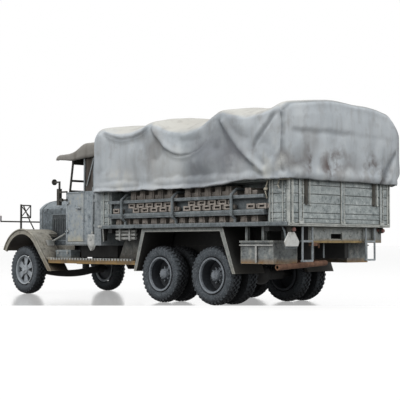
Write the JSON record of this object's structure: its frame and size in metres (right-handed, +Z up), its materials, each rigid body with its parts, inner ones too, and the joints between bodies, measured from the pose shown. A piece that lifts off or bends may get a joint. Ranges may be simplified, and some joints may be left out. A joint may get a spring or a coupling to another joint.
{
  "type": "scale model of a military cargo truck",
  "caption": "Scale model of an old military cargo truck with a long hood, a moulded canvas cover over the load bed, spare track links along the bed sides and wheels that roll.",
  "frame": {"origin": "on the floor under the middle of the model", "axes": "+X towards the hood, +Y towards the truck's left, +Z up"},
  "size_m": [0.0832, 0.03, 0.0334],
  "materials": {
    "body_paint": "weathered pale grey-blue paint with dust and streaks",
    "door_paint": "lighter weathered blue-grey paint",
    "fender_paint": "beige-grey paint with a muddy edge",
    "board_paint": "dusty grey paint with a yellow-brown edge",
    "chassis_paint": "near-black dull paint",
    "rim_paint": "pale grey paint with dark wash",
    "tyre_rubber": "dark grey dull rubber",
    "rack_metal": "grey-brown paint, worn",
    "track_metal": "pink-brown rusty castings",
    "rust_metal": "rusty red-brown",
    "fittings_dark": "olive-black dull paint",
    "seat_brown": "brown dull plastic",
    "roof_canvas": "moulded brown-grey canvas look",
    "cover_grey": "moulded mid-grey canvas look with stains"
  },
  "bodies": {
    "truck": {"bed_bearers": "chassis_paint", "bed_floor": "chassis_paint", "bed_side_left": "body_paint", "bed_side_right": "body_paint", "board_toolboxes": "body_paint", "cab_body": "body_paint", "cab_locker": "chassis_paint", "cab_roof": "roof_canvas", "chassis_frame": "chassis_paint", "door_left": "door_paint", "door_right": "door_paint", "driveline": "chassis_paint", "exhaust_pipe": "rust_metal", "fender_markers": "fittings_dark", "fender_stays": "fittings_dark", "front_axle_beam": "chassis_paint", "front_bumper": "body_paint", "front_fender_left": "fender_paint", "front_fender_right": "fender_paint", "headboard": "body_paint", "headlamps": "fittings_dark", "hood": "body_paint", "leaf_springs": "chassis_paint", "mirror_arms": "fittings_dark", "number_plate": "rack_metal", "radiator": "body_paint", "rear_axle_casings": "chassis_paint", "rear_fenders": "fender_paint", "rear_toolboxes": "body_paint", "running_boards": "board_paint", "seat": "seat_brown", "shovel": "fittings_dark", "side_curtains": "roof_canvas", "side_tanks": "chassis_paint", "spare_links": "track_metal", "splash_panels": "body_paint", "steering_wheel": "fittings_dark", "step_ladders": "rack_metal", "tail_lamps": "fittings_dark", "tailgate": "body_paint", "tarp": "cover_grey", "tool_racks": "rack_metal", "track_racks": "rack_metal", "windscreen_frame": "body_paint"},
    "front_wheel_left": {"front_tyre_left": "tyre_rubber", "front_rim_left": "rim_paint"},
    "front_wheel_right": {"front_tyre_right": "tyre_rubber", "front_rim_right": "rim_paint"},
    "rear_wheelset_1": {"rear_tyres_1": "tyre_rubber", "rear_rims_1": "rim_paint", "rear_axle_pin_1": "chassis_paint"},
    "rear_wheelset_2": {"rear_tyres_2": "tyre_rubber", "rear_rims_2": "rim_paint", "rear_axle_pin_2": "chassis_paint"}
  },
  "joints": [
    {"name": "front_wheel_left_spin", "type": "hinge", "parent": "truck", "child": "front_wheel_left", "pos_m": [0.0334, 0.01045, 0.00497], "axis": [0, 1, 0], "continuous": true},
    {"name": "front_wheel_right_spin", "type": "hinge", "parent": "truck", "child": "front_wheel_right", "pos_m": [0.0334, -0.01045, 0.00497], "axis": [0, 1, 0], "continuous": true},
    {"name": "rear_wheelset_1_spin", "type": "hinge", "parent": "truck", "child": "rear_wheelset_1", "pos_m": [-0.0097, 0, 0.00497], "axis": [0, 1, 0], "continuous": true},
    {"name": "rear_wheelset_2_spin", "type": "hinge", "parent": "truck", "child": "rear_wheelset_2", "pos_m": [-0.0227, 0, 0.00497], "axis": [0, 1, 0], "continuous": true}
  ]
}
